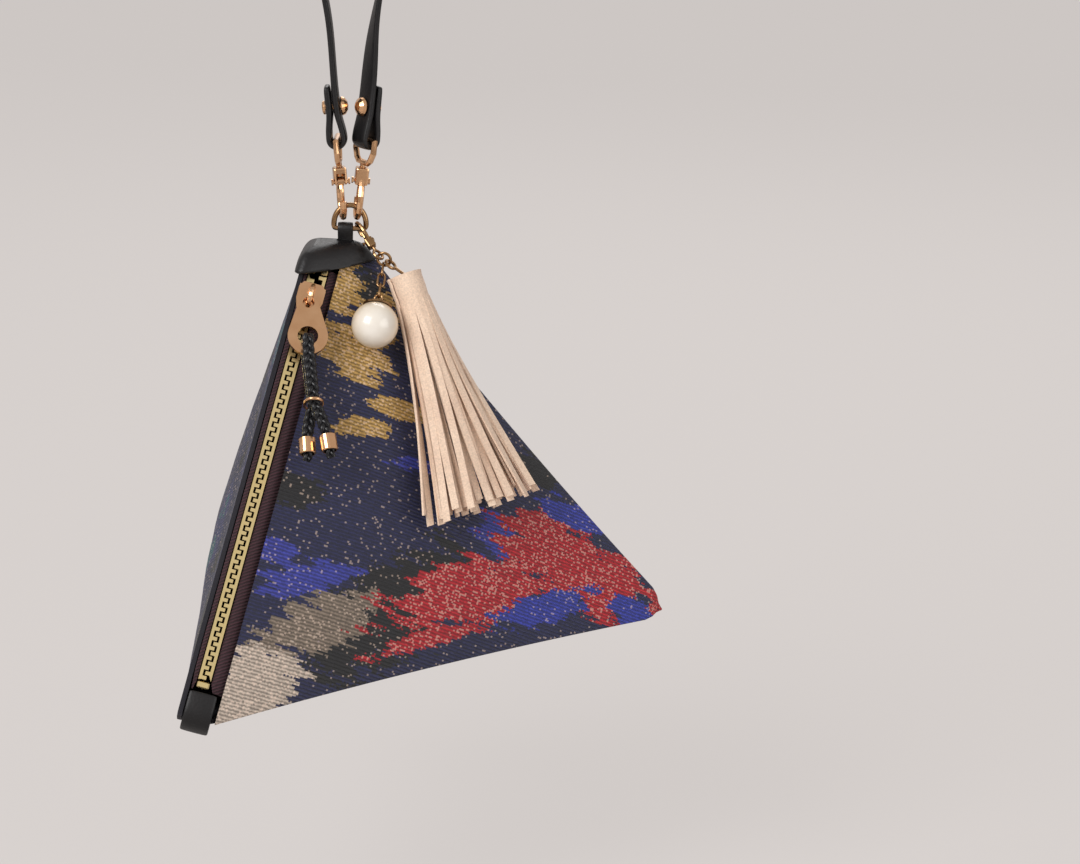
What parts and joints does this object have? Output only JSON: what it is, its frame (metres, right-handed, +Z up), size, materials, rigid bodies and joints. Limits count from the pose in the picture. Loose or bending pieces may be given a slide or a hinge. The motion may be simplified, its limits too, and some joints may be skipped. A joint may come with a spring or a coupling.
{
  "type": "triangular pouch",
  "caption": "Four-faced brocade pouch hanging by a leather wrist strap, with a zip down one corner edge, snap hooks, a braided zip pull, a suede tassel and a pearl charm.",
  "frame": {"origin": "inside of the strap loop's top, where a hand or a peg carries the pouch", "axes": "+Z up; +X to the pouch's right-hand corner; the zip's edge comes down the front left"},
  "size_m": [0.1429, 0.1615, 0.3192],
  "materials": {
    "black_leather": "satin",
    "brocade": "woven, with raised strokes",
    "zip_tape": "twill",
    "pale_brass": "polished",
    "rose_gold": "polished",
    "antique_gold": "polished",
    "suede": "napped",
    "pearl": "pearly"
  },
  "bodies": {
    "strap": {"wrist_strap": "black_leather", "strap_stud_left": "rose_gold", "strap_stud_right": "rose_gold"},
    "eye_left": {"hook_left_eye": "rose_gold"},
    "hook_left": {"hook_left_body": "rose_gold", "hook_left_pin": "rose_gold"},
    "gate_left": {"hook_left_gate": "rose_gold"},
    "eye_right": {"hook_right_eye": "rose_gold"},
    "hook_right": {"hook_right_body": "rose_gold", "hook_right_pin": "rose_gold"},
    "gate_right": {"hook_right_gate": "rose_gold"},
    "ring": {"d_ring": "antique_gold"},
    "pouch": {"pouch_shell": "brocade", "top_patch": "black_leather", "ring_tab": "black_leather", "bottom_tab": "black_leather", "zip_tape_left": "zip_tape", "zip_tape_right": "zip_tape", "zip_teeth_left": "pale_brass", "zip_teeth_right": "pale_brass", "zip_top_stop_left": "pale_brass", "zip_top_stop_right": "pale_brass", "zip_bottom_stop": "pale_brass"},
    "slider": {"zip_slider": "rose_gold"},
    "pull": {"zip_pull_tab": "rose_gold", "braid_front": "black_leather", "braid_back": "black_leather", "braid_ring": "rose_gold", "braid_cap_front": "rose_gold", "braid_cap_back": "rose_gold"},
    "clasp": {"charm_clasp_body": "antique_gold", "charm_clasp_pin": "antique_gold"},
    "clasp_gate": {"charm_clasp_gate": "antique_gold"},
    "charm_ring": {"charm_clasp_eye": "antique_gold", "jump_ring": "antique_gold"},
    "tassel_hung": {"tassel": "suede", "tassel_loop": "antique_gold"},
    "chain": {"chain_link_1": "antique_gold", "chain_link_2": "antique_gold", "chain_link_3": "antique_gold"},
    "pearl_hung": {"pearl": "pearl", "pearl_cap": "antique_gold"}
  },
  "joints": [
    {"name": "eye_left_swing", "type": "hinge", "parent": "strap", "child": "eye_left", "pos_m": [-0.004, 0, -0.1522], "axis": [0, 1, 0], "range_deg": [-3, 3]},
    {"name": "hook_left_swivel", "type": "hinge", "parent": "eye_left", "child": "hook_left", "pos_m": [-0.004, 0, -0.1522], "axis": [-0.0767, 0, 0.9971], "range_deg": [-10, 10]},
    {"name": "gate_left_open", "type": "hinge", "parent": "hook_left", "child": "gate_left", "pos_m": [-0.0028, -0.00108, -0.16535], "axis": [0.9819, 0.1736, 0.0755], "range_deg": [0, 22], "stiffness_Nm_per_rad": 0.002, "springref_deg": -17.19},
    {"name": "eye_right_swing", "type": "hinge", "parent": "strap", "child": "eye_right", "pos_m": [0.0048, 0, -0.1522], "axis": [-0.5736, 0.8191, 0], "range_deg": [-3.6, 3.6]},
    {"name": "hook_right_swivel", "type": "hinge", "parent": "eye_right", "child": "hook_right", "pos_m": [0.0048, 0, -0.1522], "axis": [0.1124, 0, 0.9937], "range_deg": [-10, 10]},
    {"name": "gate_right_open", "type": "hinge", "parent": "hook_right", "child": "gate_right", "pos_m": [0.00316, 0.00109, -0.1653], "axis": [-0.984, -0.1392, 0.1113], "range_deg": [0, 22], "stiffness_Nm_per_rad": 0.002, "springref_deg": -17.19},
    {"name": "ring_swing", "type": "hinge", "parent": "eye_left", "child": "ring", "pos_m": [0, 0, -0.1734], "axis": [1, 0, 0], "range_deg": [-16, 16]},
    {"name": "pouch_swing", "type": "hinge", "parent": "ring", "child": "pouch", "pos_m": [0, 0, -0.18], "axis": [1, 0, 0], "range_deg": [-25, 25]},
    {"name": "slider_slide", "type": "slide", "parent": "pouch", "child": "slider", "axis": [-0.2223, -0.5, -0.837], "range_m": [0, 0.112], "deforming": ["zip_teeth_left", "zip_teeth_right"]},
    {"name": "pull_swing", "type": "hinge", "parent": "slider", "child": "pull", "pos_m": [-0.01102, -0.01545, -0.19773], "axis": [-0.9665, 0, 0.2566], "range_deg": [0, 120]},
    {"name": "clasp_swing", "type": "hinge", "parent": "pouch", "child": "clasp", "pos_m": [0.003, 0, -0.18], "axis": [-1, 0, 0], "range_deg": [0, 45]},
    {"name": "clasp_gate_open", "type": "hinge", "parent": "clasp", "child": "clasp_gate", "pos_m": [0.00574, -0.00222, -0.18358], "axis": [0.8355, 0.3614, 0.4139], "range_deg": [0, 20], "stiffness_Nm_per_rad": 0.0005, "springref_deg": -17.19},
    {"name": "clasp_swivel", "type": "hinge", "parent": "clasp", "child": "charm_ring", "pos_m": [0.00891, -0.00592, -0.18678], "axis": [-0.5495, 0.5495, 0.6294], "range_deg": [0, 12]},
    {"name": "tassel_swing", "type": "hinge", "parent": "charm_ring", "child": "tassel_hung", "pos_m": [0.01236, -0.00608, -0.18942], "axis": [-0.8371, -0.5246, -0.1552], "range_deg": [0, 24]},
    {"name": "chain_swing", "type": "hinge", "parent": "charm_ring", "child": "chain", "pos_m": [0.01041, -0.00552, -0.19017], "axis": [-0.8774, -0.3101, 0.3661], "range_deg": [0, 25]},
    {"name": "pearl_swing", "type": "hinge", "parent": "chain", "child": "pearl_hung", "pos_m": [0.00947, -0.01235, -0.19822], "axis": [-0.8774, -0.3101, 0.3661], "range_deg": [0, 14]}
  ],
  "couplings": [
    {"joint": "eye_right_swing", "follows": "eye_left_swing", "ratio": 1.2}
  ]
}
